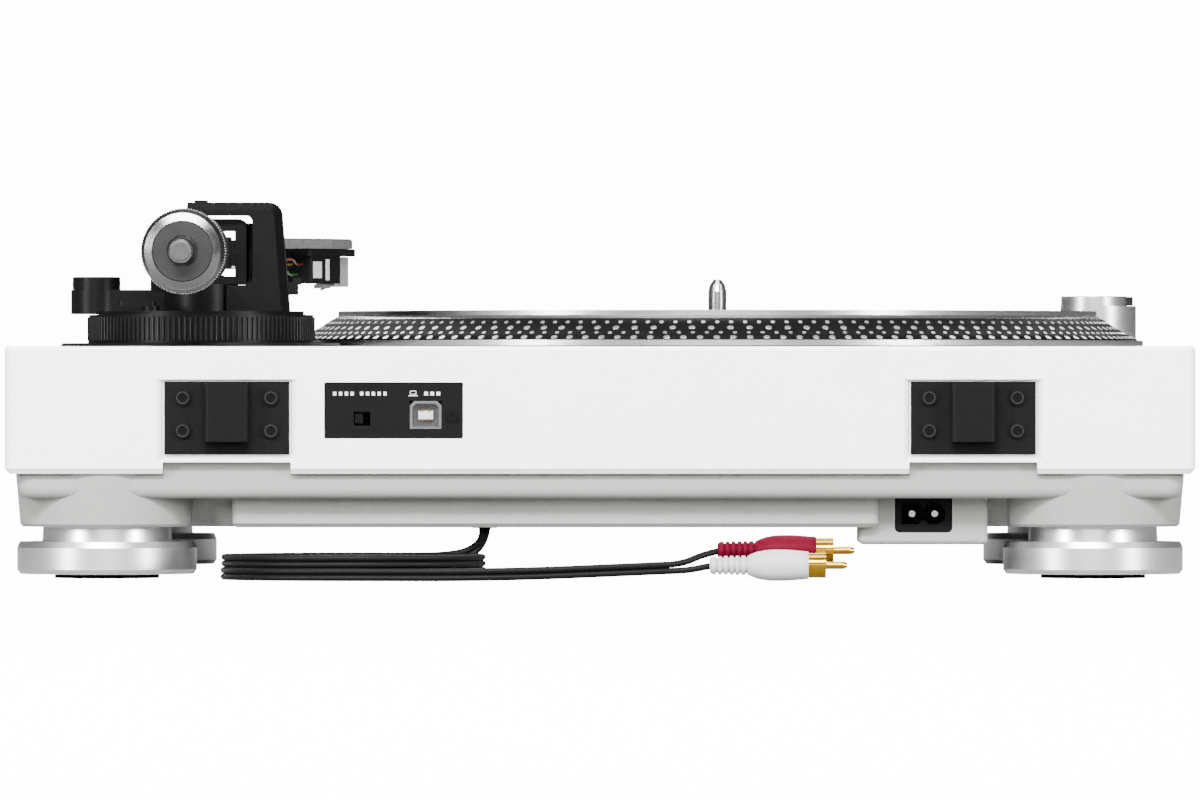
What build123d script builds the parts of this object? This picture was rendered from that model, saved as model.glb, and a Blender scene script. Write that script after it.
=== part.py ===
from build123d import *
import os
from math import atan2, cos, degrees, pi, radians, sin, tan

# Direct-drive turntable, millimetres. +Z is up, the front edge faces -Y and the
# connector side faces +Y. The origin is on the surface that the feet stand on.

# Cabinet
PLINTH_W, PLINTH_D = 450.0, 353.0
HINGE_PROUD = 6.0
REAR = (PLINTH_D - HINGE_PROUD) / 2
FRONT = REAR - PLINTH_D
SIDE = PLINTH_W / 2
BASE_Z, SEAM_Z, DECK_Z = 19.5, 39.8, 88.0
TOP_SKIN, WALL, REAR_WALL = 5.0, 4.0, 6.0
DECK_UNDER = DECK_Z - TOP_SKIN

# Feet
FOOT_X, FOOT_BACK_Y, FOOT_FRONT_Y = 187.5, 136.0, -142.0
FOOT_R, FOOT_TOP, NECK_R, NECK_TOP = 34.2, 13.9, 24.6, 19.6
FOOT_STEM_R = 5.0
POD_TOP_R, POD_LOW_R, POD_FOOT_R = 34.7, 33.0, 32.0

# Platter and motor
PLATTER_X, PLATTER_Y = -45.8, -1.5
PLATTER_RIM_R, FLANGE_R, PLATTER_TOP, FLANGE_Z = 147.9, 166.0, 101.9, 88.4
MAT_R, MAT_TOP, MAT_Z = 141.2, 101.5, 97.4
SPINDLE_R, SPINDLE_SHOULDER, SPINDLE_TIP = 3.58, 109.8, 114.4
SHAFT_R, HUB_R = 3.4, 4.2
MOTOR_HOLE_R = 62.0

# Tonearm
ARM_X, ARM_Y, ARM_Z = 153.3, 78.3, 124.0
ARM_PARK = 3.2
TUBE_R = 5.0
TUBE_ROUTE = [(7.5, 0), (62.0, 0), (149.5, 15.4), (187.7, -5.9)]
TUBE_BENDS = [300.0, 100.0]
SHELL_TURN = -29.2
REST_X, REST_Y, REST_TURN = 75.0, 2.6, 7.5
REAR_SHAFT_R = 4.45
GUIDE_R, TOWER_R = 20.0, 14.2
ARM_PLATE_LOW, ARM_PLATE_TOP, TOWER_TOP = 100.3, 101.6, 112.0
LIFT_R, LIFT_STEM_TURN = 46.0, 14.0
LIFT_STEM = (ARM_X + LIFT_R * sin(radians(LIFT_STEM_TURN)),
             ARM_Y - LIFT_R * cos(radians(LIFT_STEM_TURN)))
CUE_Y, CUE_Z = 54.3, 105.8
DIAL_X, DIAL_Y, DIAL_POD_TOP = 193.8, 72.0, 109.9
LOCK_X, LOCK_Y, LOCK_BOSS_TOP = 172.0, 102.0, 103.5
FIT = 0.05

# Controls
POWER_X, POWER_Y = -196.3, -103.0
START_X, START_Y = -195.0, -152.0
PITCH_X, PITCH_Y, PITCH_TRAVEL = 195.0, -95.0, 45.0
ADAPTER_X, ADAPTER_Y, ADAPTER_R = -196.0, 135.0, 18.9
LAMP_X, LAMP_Y = 75.0, -160.0
HINGE_X = 141.0
NOTCH_HALF, NOTCH_TOP = 24.2, 44.2
INLET_FACE = REAR - 22.0

# Audio cord: a flat twin of two strands, standing on its edge
CORD_D, STRAND_D = 4.9, 2.45
GLAND_X, GLAND_Y = 43.8, 142.5
COIL_X, COIL_Y, COIL_A, COIL_B = 92.0, 187.5, 52.0, 45.0
COIL_WIDE, COIL_H = 8.4, 9.9
LEAD_ROUTE = [(43.8, 142.5, 22.8), (43.8, 142.5, 16.6), (46.7, 143.3, 11.4), (51.7, 144.6, 8.4),
              (69.0, 149.6, 7.4)]
RUN_ROUTE = [(84.0, 232.0, 2.45), (55.0, 231.4, 2.45), (25.0, 229.6, 2.9), (-4.0, 227.0, 4.1),
             (-28.0, 224.2, 5.1)]
WHITE_ROUTE = [(-28.0, 224.2, 3.88), (-32.5, 224.6, 4.1), (-37.0, 225.2, 4.9), (-41.0, 226.0, 6.0)]
RED_ROUTE = [(-28.0, 224.2, 6.33), (-33.0, 222.4, 7.4), (-38.5, 218.6, 9.9), (-44.0, 215.6, 11.4)]

PARTS = {}


def block(x0, x1, y0, y1, z0, z1):
    """A box between two corners."""
    return Pos((x0 + x1) / 2, (y0 + y1) / 2, (z0 + z1) / 2) * Box(x1 - x0, y1 - y0, z1 - z0)


def slab(x0, x1, y0, y1, z0, z1, corner):
    """A box with rounded vertical corners."""
    outline = RectangleRounded(x1 - x0, y1 - y0, corner)
    return Pos((x0 + x1) / 2, (y0 + y1) / 2, z0) * extrude(outline, z1 - z0)


def disc(x, y, z0, z1, r):
    """A vertical cylinder."""
    return Pos(x, y, (z0 + z1) / 2) * Cylinder(r, z1 - z0)


def ring(x, y, z0, z1, r, bore):
    """A vertical tube."""
    return disc(x, y, z0, z1, r) - disc(x, y, z0 - 1, z1 + 1, bore)


def turned(points):
    """A solid of revolution about Z from (radius, height) points."""
    return revolve(Plane.XZ * make_face(Polyline(*points, close=True)), Axis.Z)


def tube(route, r, radii):
    """A round tube along straight runs joined by tangent arcs."""
    path = FilletPolyline(*route, radius=radii)
    section = Plane(origin=path @ 0, z_dir=path % 0) * Circle(r)
    return sweep(section, path=path)


def bend_radii(name, route, d):
    """The largest fair radius at each inner point of a cord's route."""
    points = [Vector(*p) for p in route]
    radii = []
    for a, b, c in zip(points, points[1:], points[2:]):
        turn = radians((b - a).get_angle(c - b))
        radii.append(0.45 * min((b - a).length, (c - b).length) / tan(turn / 2))
    print(name, "bend radii in diameters:", [round(r / d, 1) for r in radii])
    return radii


def cord_tube(name, route, d):
    """A cord's tube, with its volume compared with section times length."""
    radii = bend_radii(name, route, d)
    solid = tube(route, d / 2, radii)
    length = FilletPolyline(*route, radius=radii).length
    ratio = solid.volume / (pi * d * d / 4 * length)
    print(name, "length", round(length, 1), "volume ratio", round(ratio, 3))
    return solid


def rear_plate(x0, x1, z0, z1, y0, y1, corner):
    """A plate that faces the rear, with rounded corners."""
    outline = Plane.XZ.offset(-y1) * Pos((x0 + x1) / 2, (z0 + z1) / 2)
    return extrude(outline * RectangleRounded(x1 - x0, z1 - z0, corner), y1 - y0)


def top_edges(shape):
    return shape.edges().group_by(Axis.Z)[-1]


def bottom_edges(shape):
    return shape.edges().group_by(Axis.Z)[0]


def arm_place(x=0, y=0, z=0):
    """A place in the parked arm's frame: x forward along the arm, y outward."""
    return Pos(ARM_X, ARM_Y, ARM_Z) * Rot(0, 0, -90 - ARM_PARK) * Pos(x, y, z)


def shell_place(x=0, y=0, z=0):
    """A place in the head shell's frame: x forward along the shell."""
    return arm_place(TUBE_ROUTE[-1][0], TUBE_ROUTE[-1][1]) * Rot(0, 0, SHELL_TURN) * Pos(x, y, z)


def along_arm(x0, x1, r, bore=0):
    """A cylinder or a tube about the arm's axis from x0 to x1."""
    solid = Rot(0, 90, 0) * Cylinder(r, x1 - x0)
    if bore:
        solid -= Rot(0, 90, 0) * Cylinder(bore, x1 - x0 + 2)
    return arm_place((x0 + x1) / 2) * solid


# ---------------------------------------------------------------- cabinet


def hinge_pocket(side):
    """A pocket with bevelled edges in the rear face, and the notch below it."""
    x = side * HINGE_X
    mouth = Plane.XZ.offset(-REAR) * Pos(x, 59.75) * Rectangle(52.5, 31.5)
    floor = Plane.XZ.offset(-REAR + 2) * Pos(x, 60.3) * Rectangle(48.4, 29.4)
    pocket = loft([mouth, floor])
    notch = block(x - NOTCH_HALF, x + NOTCH_HALF, REAR - REAR_WALL - 1, REAR + 1, SEAM_Z - 1, NOTCH_TOP)
    return pocket + notch


def upper_cabinet():
    body = slab(-SIDE, SIDE, FRONT, REAR, SEAM_Z, DECK_Z, 4)
    body = fillet(top_edges(body), 1.5)
    body = chamfer(bottom_edges(body), 2.0, 1.8)
    hollow = slab(-SIDE + WALL, SIDE - WALL, FRONT + WALL, REAR - REAR_WALL, SEAM_Z - 1, DECK_UNDER, 3)
    body -= hollow
    body += disc(ADAPTER_X, ADAPTER_Y, 76, DECK_Z - 1, 22)
    body -= disc(ADAPTER_X, ADAPTER_Y, 80, DECK_Z + 1, ADAPTER_R + 0.4)
    body -= disc(PLATTER_X, PLATTER_Y, 70, 90, MOTOR_HOLE_R)
    body -= disc(ARM_X, ARM_Y, 70, 90, 24.3)
    body -= slab(START_X - 14.4, START_X + 14.4, START_Y - 12.4, START_Y + 12.4, 70, 90, 2.4)
    for x in (-165, -143):
        body -= slab(x - 8.4, x + 8.4, -163.4, -152.6, 70, 90, 1.4)
    body -= disc(170, -140, 70, 90, 4.9)
    body -= disc(LAMP_X, LAMP_Y, 70, 90, 7.0)
    body -= slab(PITCH_X - 15.2, PITCH_X + 15.2, PITCH_Y - 65.2, PITCH_Y + 65.2, DECK_Z - 1.6, 90, 2.2)
    body -= block(PITCH_X - 2, PITCH_X + 2, PITCH_Y - 51, PITCH_Y + 51, 80, 90)
    body -= disc(POWER_X, POWER_Y, 80, 90, 9)
    for side in (-1, 1):
        body -= hinge_pocket(side)
    body -= block(51.7, 104.2, REAR - 3, REAR + 1, 53.1, 74.4)
    body -= block(56, 96, REAR - 10, REAR, 55, 70)
    PARTS["upper_cabinet"] = body


def lower_base():
    face = REAR - 4.6
    band = slab(-SIDE + 4.6, SIDE - 4.6, FRONT + 4.6, face, 30.5, SEAM_Z, 6)
    band = fillet(bottom_edges(band), 4.0)
    band = chamfer(top_edges(band), 0.8)
    core = slab(-SIDE + 30, SIDE - 30, FRONT + 30, REAR - 30, NECK_TOP, 31, 8)
    middle = slab(-105.5, 139.3, FRONT + 18, REAR - 16, 19.4, 31, 3)
    middle = chamfer(bottom_edges(middle), 1.5)
    body = band + core + middle
    pod = turned([(0, NECK_TOP), (POD_FOOT_R, NECK_TOP), (POD_LOW_R, NECK_TOP + 1), (POD_TOP_R, SEAM_Z),
                  (0, SEAM_Z)])
    for x in (-FOOT_X, FOOT_X):
        for y in (FOOT_FRONT_Y, FOOT_BACK_Y):
            body += Pos(x, y, 0) * pod
    inlet_box = slab(-147, -98, REAR - 60, INLET_FACE, 12.9, 33, 2)
    body += fillet(bottom_edges(inlet_box), 1.8)
    body -= rear_plate(-133.6, -111.8, 17.4, 31.6, INLET_FACE - 23, INLET_FACE + 1, 1.9)
    for side in (-1, 1):
        x, half = side * HINGE_X, NOTCH_HALF - 0.2
        body += block(x - half, x + half, face - 4, face, 36, NOTCH_TOP - 0.2)
    for x in (-FOOT_X, FOOT_X):
        for y in (FOOT_FRONT_Y, FOOT_BACK_Y):
            body -= disc(x, y, 10, 36, FOOT_STEM_R + 0.35)
    body -= disc(GLAND_X, GLAND_Y, 10, 26, 5.5)
    PARTS["lower_base"] = body


def screw(x, y, z, r, head):
    """A cross-head screw that faces the rear, from the face at y."""
    solid = Pos(x, y, z) * Rot(-90, 0, 0) * (Pos(0, 0, head / 2) * Cylinder(r, head))
    cross = block(x - r * 0.6, x + r * 0.6, y + head - 0.6, y + head + 1, z - 0.35, z + 0.35)
    cross += block(x - 0.35, x + 0.35, y + head - 0.6, y + head + 1, z - r * 0.6, z + r * 0.6)
    return solid - cross


def hinge_brackets():
    """Sockets for the two hinge tongues of the dust cover."""
    screws = []
    for side, name in ((1, "hinge_bracket_right"), (-1, "hinge_bracket_left")):
        x = side * HINGE_X
        plate = block(x - 23.6, x + 23.6, REAR - 2, REAR - 0.4, 47.1, 74.7)
        socket = block(x - 8.4, x + 8.4, REAR - 1, REAR + HINGE_PROUD, 51.9, 74.7)
        socket = fillet(socket.edges().filter_by(Axis.Z).group_by(Axis.Y)[-1], 2.0)
        socket -= block(x - 6.3, x + 6.3, REAR + 0.1, REAR + 4.5, 54, 80)
        PARTS[name] = plate + socket
        for dx in (-16.65, 16.65):
            for z in (56.1, 68.6):
                screws.append(screw(x + dx, REAR - 0.4, z, 2.9, 1.2))
    screws.append(screw(55.9, REAR - 0.6, 61.6, 2.0, 1.0))
    PARTS["rear_screws"] = Compound(children=screws)


def connectors():
    panel = block(51.9, 104.0, REAR - 3, REAR - 0.6, 53.3, 74.2)
    panel = fillet(panel.edges().filter_by(Axis.Y), 0.9)
    panel -= block(86.8, 93.0, REAR - 5, REAR, 58.0, 63.3)
    panel -= block(59.7, 72.0, REAR - 5, REAR, 56.6, 67.5)
    PARTS["io_panel"] = panel

    shell = block(59.9, 71.8, REAR - 18, REAR - 0.5, 56.8, 67.3)
    shell = chamfer(shell.edges().filter_by(Axis.Y).group_by(Axis.Z)[-1], 1.6)
    cavity = block(60.9, 70.8, REAR - 17, REAR, 57.6, 66.4)
    cavity = chamfer(cavity.edges().filter_by(Axis.Y).group_by(Axis.Z)[-1], 1.4)
    PARTS["usb_shell"] = shell - cavity
    tongue = block(63.05, 68.65, REAR - 17, REAR - 3, 60.4, 63.6)
    contacts = [block(x - 0.5, x + 0.5, REAR - 12, REAR - 3.4, z, z + 0.2)
                for x in (64.6, 67.1) for z in (60.2, 63.6)]
    for contact in contacts:
        tongue += contact
    PARTS["usb_insert"] = tongue

    housing = rear_plate(-133.5, -111.9, 17.5, 31.5, INLET_FACE - 22, INLET_FACE - 0.3, 1.8)
    mid, low, high, deep = -122.7, 20.45, 28.55, INLET_FACE - 16
    socket = block(mid - 4.3, mid + 8.35, deep, INLET_FACE + 1, low, high)
    socket += Pos(mid - 4.3, (deep + INLET_FACE + 1) / 2, 24.5) * Rot(90, 0, 0) * Cylinder(4.05, 17)
    for z in (low, high):
        socket -= Pos(mid, INLET_FACE - 8, z) * Rot(0, 45, 0) * Box(2.8, 20, 2.8)
    PARTS["power_inlet"] = housing - socket
    pins = [Pos(x, INLET_FACE - 9.5, 24.5) * Rot(90, 0, 0) * Cylinder(1.25, 13) for x in (-118.4, -127.0)]
    PARTS["inlet_pins"] = Compound(children=pins)

    knob = block(89.6, 92.5, REAR - 5, REAR + 0.6, 58.9, 62.4)
    for x in (90.3, 91.05, 91.8):
        knob -= block(x - 0.15, x + 0.15, REAR + 0.3, REAR + 1, 58, 63)
    PARTS["line_switch_knob"] = knob


def feet():
    """Height-adjusting feet, each a turned disc with a rubber pad and a threaded stem."""
    profile = [(0, 0), (19.8, 0), (19.8, 1.6), (FOOT_R - 1.2, 1.6), (FOOT_R, 3.4),
               (FOOT_R, FOOT_TOP - 2.3), (FOOT_R - 1.0, FOOT_TOP), (NECK_R, FOOT_TOP),
               (NECK_R - 0.3, NECK_TOP), (FOOT_STEM_R, NECK_TOP), (FOOT_STEM_R, 34.5), (0, 34.5)]
    foot = turned(profile)
    for side, lr in ((-1, "left"), (1, "right")):
        for y, fb in ((FOOT_FRONT_Y, "front"), (FOOT_BACK_Y, "back")):
            PARTS[f"foot_{fb}_{lr}"] = Pos(side * FOOT_X, y, 0) * foot


def circuit_boards():
    """The drive board and the supply board, on posts that stand on the base."""
    boards = block(20, 140, -150, -75, 46, 47.6)
    boards += block(70, 90, -140, -120, 47.6, 59) + block(40, 62, -110, -90, 47.6, 52)
    boards += block(-205, -115, 70, 150, 46, 47.6)
    boards += block(-190, -150, 90, 130, 47.6, 72) + disc(-130, 100, 47.6, 68, 9)
    for left, right, near, far in ((26, 134, -144, -81), (-199, -121, 76, 144)):
        for x in (left, right):
            for y in (near, far):
                boards += disc(x, y, SEAM_Z, 46, 3)
    PARTS["circuit_boards"] = boards


# ---------------------------------------------------------------- drive


def platter():
    x, y = PLATTER_X, PLATTER_Y
    outside = [(MAT_R + 0.3, PLATTER_TOP), (PLATTER_RIM_R, PLATTER_TOP), (PLATTER_RIM_R, 100.0),
               (150.3, 98.6), (153.6, 96.2), (157.2, 94.1), (160.3, 92.4), (163.9, 90.5),
               (FLANGE_R, 90.5), (FLANGE_R, FLANGE_Z), (140, FLANGE_Z), (136, 93.4)]
    inside = [(20, 93.4), (20, 90.5), (HUB_R, 90.5), (HUB_R, MAT_Z), (MAT_R + 0.3, MAT_Z)]
    PARTS["platter"] = Pos(x, y, 0) * turned(outside + inside)
    mat = ring(x, y, MAT_Z, MAT_TOP, MAT_R, HUB_R + 0.2)
    PARTS["platter_mat"] = mat
    spindle = [(0, 52), (SHAFT_R, 52), (SHAFT_R, 90.5), (HUB_R, 90.5), (HUB_R, MAT_TOP),
               (SPINDLE_R, MAT_TOP), (SPINDLE_R, SPINDLE_SHOULDER), (2.9, 112.4), (1.35, SPINDLE_TIP),
               (0, SPINDLE_TIP)]
    PARTS["spindle"] = Pos(x, y, 0) * turned(spindle)
    PARTS["rotor_magnet"] = ring(x, y, 84.5, 93.4, 55, 47)


def motor():
    x, y = PLATTER_X, PLATTER_Y
    plate = disc(x, y, 80, DECK_UNDER, 70) + disc(x, y, 46, 80, 9) + disc(x, y, 80, 89.8, 7)
    plate -= disc(x, y, 50, 95, SHAFT_R + FIT)
    PARTS["motor_plate"] = plate
    stator = ring(x, y, DECK_UNDER, 87, 18, 8)
    for i in range(9):
        turn = 40 * i
        coil = Rot(0, 0, turn) * slab(17, 43, -6.5, 6.5, DECK_UNDER, 88.5, 3)
        stator += Pos(x, y, 0) * coil
    PARTS["motor_stator"] = stator


def strobe_tower():
    x, y = POWER_X, POWER_Y
    tower = disc(x, y, DECK_Z, 104.5, 13.3)
    step = disc(x, y, DECK_Z, 104.5, 16.7) - block(x, x + 30, y - 30, y + 30, 80, 110)
    toward = degrees(atan2(PLATTER_Y - y, PLATTER_X - x))
    window = Pos(x, y, 96.5) * Rot(0, 0, toward)
    tower = tower + step + disc(x, y, 78, DECK_Z, 8.6)
    tower -= window * (Pos(11, 0, 0) * Box(6, 9, 7))
    tower -= disc(x, y, 98, 106, 3 + FIT)
    PARTS["strobe_tower"] = tower
    PARTS["strobe_lens"] = window * (Pos(10.5, 0, 0) * Box(5, 8.8, 6.8))
    dial = fillet(top_edges(disc(x, y, 104.55, 108.4, 13.1)), 0.4) + disc(x, y, 99, 104.8, 3)
    dial += block(x - 15.3, x - 12.5, y - 1.8, y + 1.8, 104.7, 108.1)
    PARTS["power_dial"] = dial


# ---------------------------------------------------------------- controls


def controls():
    start = slab(START_X - 14, START_X + 14, START_Y - 12, START_Y + 12, 82, 91, 2)
    PARTS["start_stop_button"] = fillet(top_edges(start), 0.8)
    for x, name in ((-165, "speed_33_button"), (-143, "speed_45_button")):
        PARTS[name] = fillet(top_edges(slab(x - 8, x + 8, -163, -153, 82, 90, 1)), 0.6)
    PARTS["tempo_reset_button"] = fillet(top_edges(disc(170, -140, 82, 89.8, 4.5)), 0.5)
    PARTS["stylus_lamp"] = fillet(top_edges(disc(LAMP_X, LAMP_Y, 66, DECK_Z + 0.4, 6.6)), 0.8)

    panel = slab(PITCH_X - 15, PITCH_X + 15, PITCH_Y - 65, PITCH_Y + 65, DECK_Z - 1.6, DECK_Z - 0.2, 2)
    panel -= block(PITCH_X - 1.4, PITCH_X + 1.4, PITCH_Y - 50, PITCH_Y + 50, 80, 90)
    PARTS["pitch_panel"] = panel
    knob = slab(PITCH_X - 8, PITCH_X + 8, PITCH_Y - 6, PITCH_Y + 6, DECK_Z + 0.4, 96, 1.5)
    knob = fillet(top_edges(knob), 0.8)
    knob -= block(PITCH_X - 9, PITCH_X + 9, PITCH_Y - 0.5, PITCH_Y + 0.5, 95.2, 97)
    PARTS["pitch_knob"] = knob + block(PITCH_X - 0.8, PITCH_X + 0.8, PITCH_Y - 3, PITCH_Y + 3, 76, 90)

    adapter = turned([(3.65, 80), (ADAPTER_R, 80), (ADAPTER_R, 85.5), (16, DECK_Z - 0.2),
                      (3.65, DECK_Z - 0.2)])
    PARTS["ep_adapter"] = Pos(ADAPTER_X, ADAPTER_Y, 0) * adapter


# ---------------------------------------------------------------- tonearm


def arm_base():
    x, y = ARM_X, ARM_Y
    plate = chamfer(top_edges(disc(x, y, DECK_Z, 89.4, 54)), 0.8)
    plate -= disc(PLATTER_X, PLATTER_Y, DECK_Z - 1, 91, FLANGE_R + 1.5)
    plate += disc(x, y, 56, DECK_Z, 24)
    PARTS["arm_base_plate"] = plate - disc(x, y, 50, 95, GUIDE_R + FIT)
    PARTS["height_ring"] = ring(x, y, 89.45, ARM_PLATE_LOW - FIT, 43.1, GUIDE_R + 0.4)

    body = disc(x, y, ARM_PLATE_LOW, ARM_PLATE_TOP, 39.5) + disc(x, y, 62, ARM_PLATE_LOW, GUIDE_R)
    body -= disc(x, y, 61, 96, GUIDE_R - 4)
    body += disc(x, y, ARM_PLATE_TOP, TOWER_TOP, TOWER_R)
    body += disc(DIAL_X, DIAL_Y, 100.5, DIAL_POD_TOP, 9.8)
    body += block(160, DIAL_X, 64.5, 79.5, ARM_PLATE_TOP, DIAL_POD_TOP)
    body += block(x - 7, x + 5, -2, 45, ARM_PLATE_LOW, 103.5)
    body += block(160, 173.4, y - 30, y - 18.5, ARM_PLATE_TOP, 118)
    body += block(160, 173.4, y - 50, y - 18.5, ARM_PLATE_LOW, 108)
    body += disc(LOCK_X, LOCK_Y, ARM_PLATE_TOP, LOCK_BOSS_TOP, 3.4)
    body -= disc(x, y, 104, 113, 3 + FIT)
    body -= disc(DIAL_X, DIAL_Y, 103, 111, 2 + FIT)
    body -= disc(LOCK_X, LOCK_Y, 101, 105, 1.5 + FIT)
    body -= disc(*LIFT_STEM, 101.4, 109, 2 + FIT)
    body -= Pos(172, CUE_Y, CUE_Z) * Rot(0, 90, 0) * Cylinder(1.5 + FIT, 6)
    PARTS["arm_base_housing"] = body


def gimbal_arch():
    """The fixed yoke over the arm's pivot, with one leg on the platter side and a web to the tower."""
    x, y = ARM_X, ARM_Y
    outline = Polyline((x + 5.1, 138.4), (x + 5.1, 143.4), (x - 30.8, 143.4), (x - 34.1, ARM_PLATE_TOP),
                       (x - 10, ARM_PLATE_TOP), (x - 10, TOWER_TOP - 0.4), (x - 20, TOWER_TOP - 0.4),
                       (x - 20, 138.4), close=True)
    arch = extrude(Plane.XZ.offset(-y - 12) * make_face(outline), 19)
    corner = Vector(x - 30.8, y, 143.4)
    outer = arch.edges().filter_by(Axis.Y).sort_by(lambda e: (e.center() - corner).length)[0]
    arch = fillet(outer, 5.0)
    inner = [e for e in arch.edges().filter_by(Axis.Y) if abs(e.center().X - (x - 20)) < 0.1]
    arch = fillet(inner, 3.0)
    rear_face = arch.faces().sort_by(Axis.Y)[-1]
    leg = rear_face.edges().filter_by(GeomType.LINE).sort_by(Axis.X)[0]
    arch = chamfer(leg, 3.0, 4.4, reference=rear_face)
    arch += block(x - 20.5, x - 17.4, y - 7, y - 5.6, TOWER_TOP + 2, 135.6)
    arch -= disc(x, y, 137, 142.5, 1.5 + FIT)
    arch -= disc(x, y, ARM_PLATE_TOP - 1, TOWER_TOP, TOWER_R + FIT)
    PARTS["gimbal_arch"] = arch + disc(x, y, 143.4, 144.3, 2.6)


def arm_rest_and_clamp():
    """The cradle that the parked arm lies in, and its hinged clip."""
    place = arm_place(REST_X, REST_Y) * Rot(0, 0, REST_TURN)
    rest = Pos(0, 0, -14.25) * Cylinder(4, 12.5) + block(-5.3, 5.3, -5, 9.4, -10, -8)
    rest += block(-5.3, 5.3, 7.0, 9.4, -9, 4.6)
    rest += block(-5.3, -3.4, 6.4, 10.0, 4, 8.8) + block(3.4, 5.3, 6.4, 10.0, 4, 8.8)
    rest += Pos(0, 8.2, 7) * Rot(0, 90, 0) * Cylinder(0.8, 9)
    PARTS["arm_rest"] = place * rest
    knuckle = Rot(0, 90, 0) * (Cylinder(1.8, 6) - Cylinder(0.8 + FIT, 8))
    clip = block(-3, 3, -1, 1, 1.5, 12.3) + block(-3, 3, -2.4, -0.8, 10.6, 12.3)
    PARTS["arm_clamp"] = place * Pos(0, 8.2, 7) * (knuckle + clip)


def arm_controls():
    dial = fillet(top_edges(disc(DIAL_X, DIAL_Y, DIAL_POD_TOP + FIT, 114.9, 9.2)), 0.5)
    PARTS["anti_skate_dial"] = dial + disc(DIAL_X, DIAL_Y, 104, DIAL_POD_TOP + 1, 2)
    lever = slab(LOCK_X - 2, LOCK_X + 12.4, LOCK_Y - 2.2, LOCK_Y + 2.2, 103.6, 105.4, 1.9)
    PARTS["height_lock_lever"] = lever + disc(LOCK_X, LOCK_Y, 101.4, 104, 1.5)

    hub = Pos(175.8, CUE_Y, CUE_Z)
    cue = hub * Rot(0, 90, 0) * Cylinder(4, 3.6)
    cue += Pos(172, CUE_Y, CUE_Z) * Rot(0, 90, 0) * Cylinder(1.5, 5)
    PARTS["cue_lever"] = cue + hub * Rot(3, 0, 0) * Pos(0, -15, 0) * Box(3.4, 26, 3.2)

    reach = 3 * LIFT_R
    inner_end, outer_end = radians(-90 - 52), radians(-90 + 17)
    wedge = make_face(Polyline((0, 0), (reach * cos(inner_end), reach * sin(inner_end)),
                               (reach * cos(outer_end), reach * sin(outer_end)), close=True))
    bar = ring(0, 0, 112, 114.6, LIFT_R + 2, LIFT_R - 2) & Pos(0, 0, 111) * extrude(wedge, 5)
    bar = Pos(ARM_X, ARM_Y, 0) * bar + block(116.6, 120.6, 47.6, 52.4, 108.1, 113)
    stem = disc(*LIFT_STEM, 101.8, 113, 2)
    PARTS["lift_platform"] = bar + stem


def gimbal_ring():
    body = Box(12, 35.8, 25) - Pos(0, 0, -0.9) * Box(14, 27, 17.4)
    body = fillet(body.edges().filter_by(Axis.X).group_by(Axis.Z)[-1], 4.0)
    body = Pos(0, 0, 0.6) * body
    body += Pos(0, 0, -13.9) * Cylinder(3, 6) + Pos(0, 0, 14.4) * Cylinder(1.5, 3.6)
    body -= Rot(90, 0, 0) * Cylinder(1.5 + FIT, 60)
    PARTS["gimbal_ring"] = arm_place() * body


def tonearm():
    path = FilletPolyline(*TUBE_ROUTE, radius=TUBE_BENDS)
    bent = sweep(Plane(origin=path @ 0, z_dir=path % 0) * Circle(TUBE_R), path=path)
    hub = fillet(Box(15, 22, 12).edges().filter_by(Axis.X), 2.0)
    hub += Rot(90, 0, 0) * Cylinder(1.5, 34)
    rear = Pos(-50.5, 0, 0) * Rot(0, 90, 0) * Cylinder(REAR_SHAFT_R, 87)
    PARTS["arm_tube"] = arm_place() * (bent + hub + rear)

    nut = Rot(0, 90, 0) * (Cylinder(6.4, 10) - Cylinder(TUBE_R + FIT, 12))
    PARTS["headshell_nut"] = shell_place(-2.4) * nut

    plate_outline = make_face(Polyline((4, -8), (40, -10), (60, -6.5), (62, -3), (62, 3), (60, 6.5),
                                       (40, 10), (4, 8), close=True))
    shell = Pos(0, 0, 3.6) * extrude(plate_outline, 4.0)
    shell += block(4, 10, -7, 7, -5, 4) + Pos(3.6, 0, 0) * Rot(0, 90, 0) * Cylinder(4, 6)
    for y in (-4.5, 4.5):
        shell -= slab(28, 46, y - 1.3, y + 1.3, 3, 9, 1.2)
    lift = FilletPolyline((50, 7, 5.4), (54, 15, 5.2), (55, 24, 4.0), radius=4)
    shell += sweep(Plane(origin=lift @ 0, z_dir=lift % 0) * Circle(1.1), path=lift)
    shell -= Pos(60, 0, 8.2) * Rot(0, 18, 0) * Box(16, 30, 2.6)
    PARTS["headshell"] = shell_place() * shell

    body = slab(26, 60, -8.5, 8.5, 0.6, 3.5, 1.5) + slab(28, 49.9, -7.8, 7.8, -10.3, 0.6, 1.2)
    PARTS["cartridge"] = shell_place() * body
    stylus = slab(50.1, 60, -5, 5, -11.6, 0.4, 1) + block(45.5, 50.2, -2.5, 2.5, -12.2, -10.5)
    stylus += Pos(50, 0, -12.0) * Rot(0, 90 - 12, 0) * Cylinder(0.45, 6)
    stylus += Pos(47, 0, -12.8) * Cylinder(0.3, 1.0)
    PARTS["stylus"] = shell_place() * stylus


def balance():
    """The counterweight and the force dial, on the arm's rear shaft."""
    bore, knurl = REAR_SHAFT_R + FIT, 15.9
    profile = [(bore, 52), (14.4, 52), (15.2, 52.8), (15.2, 75), (knurl, 75.4), (knurl, 82.2),
               (14.5, 84.4), (11, 85.2), (11, 83), (bore, 83)]
    weight = arm_place() * Rot(0, -90, 0) * turned(profile)
    PARTS["counterweight"] = weight
    PARTS["force_dial"] = along_arm(-51.8, -48, 14.8, REAR_SHAFT_R + FIT)


# ---------------------------------------------------------------- audio cord


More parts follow.
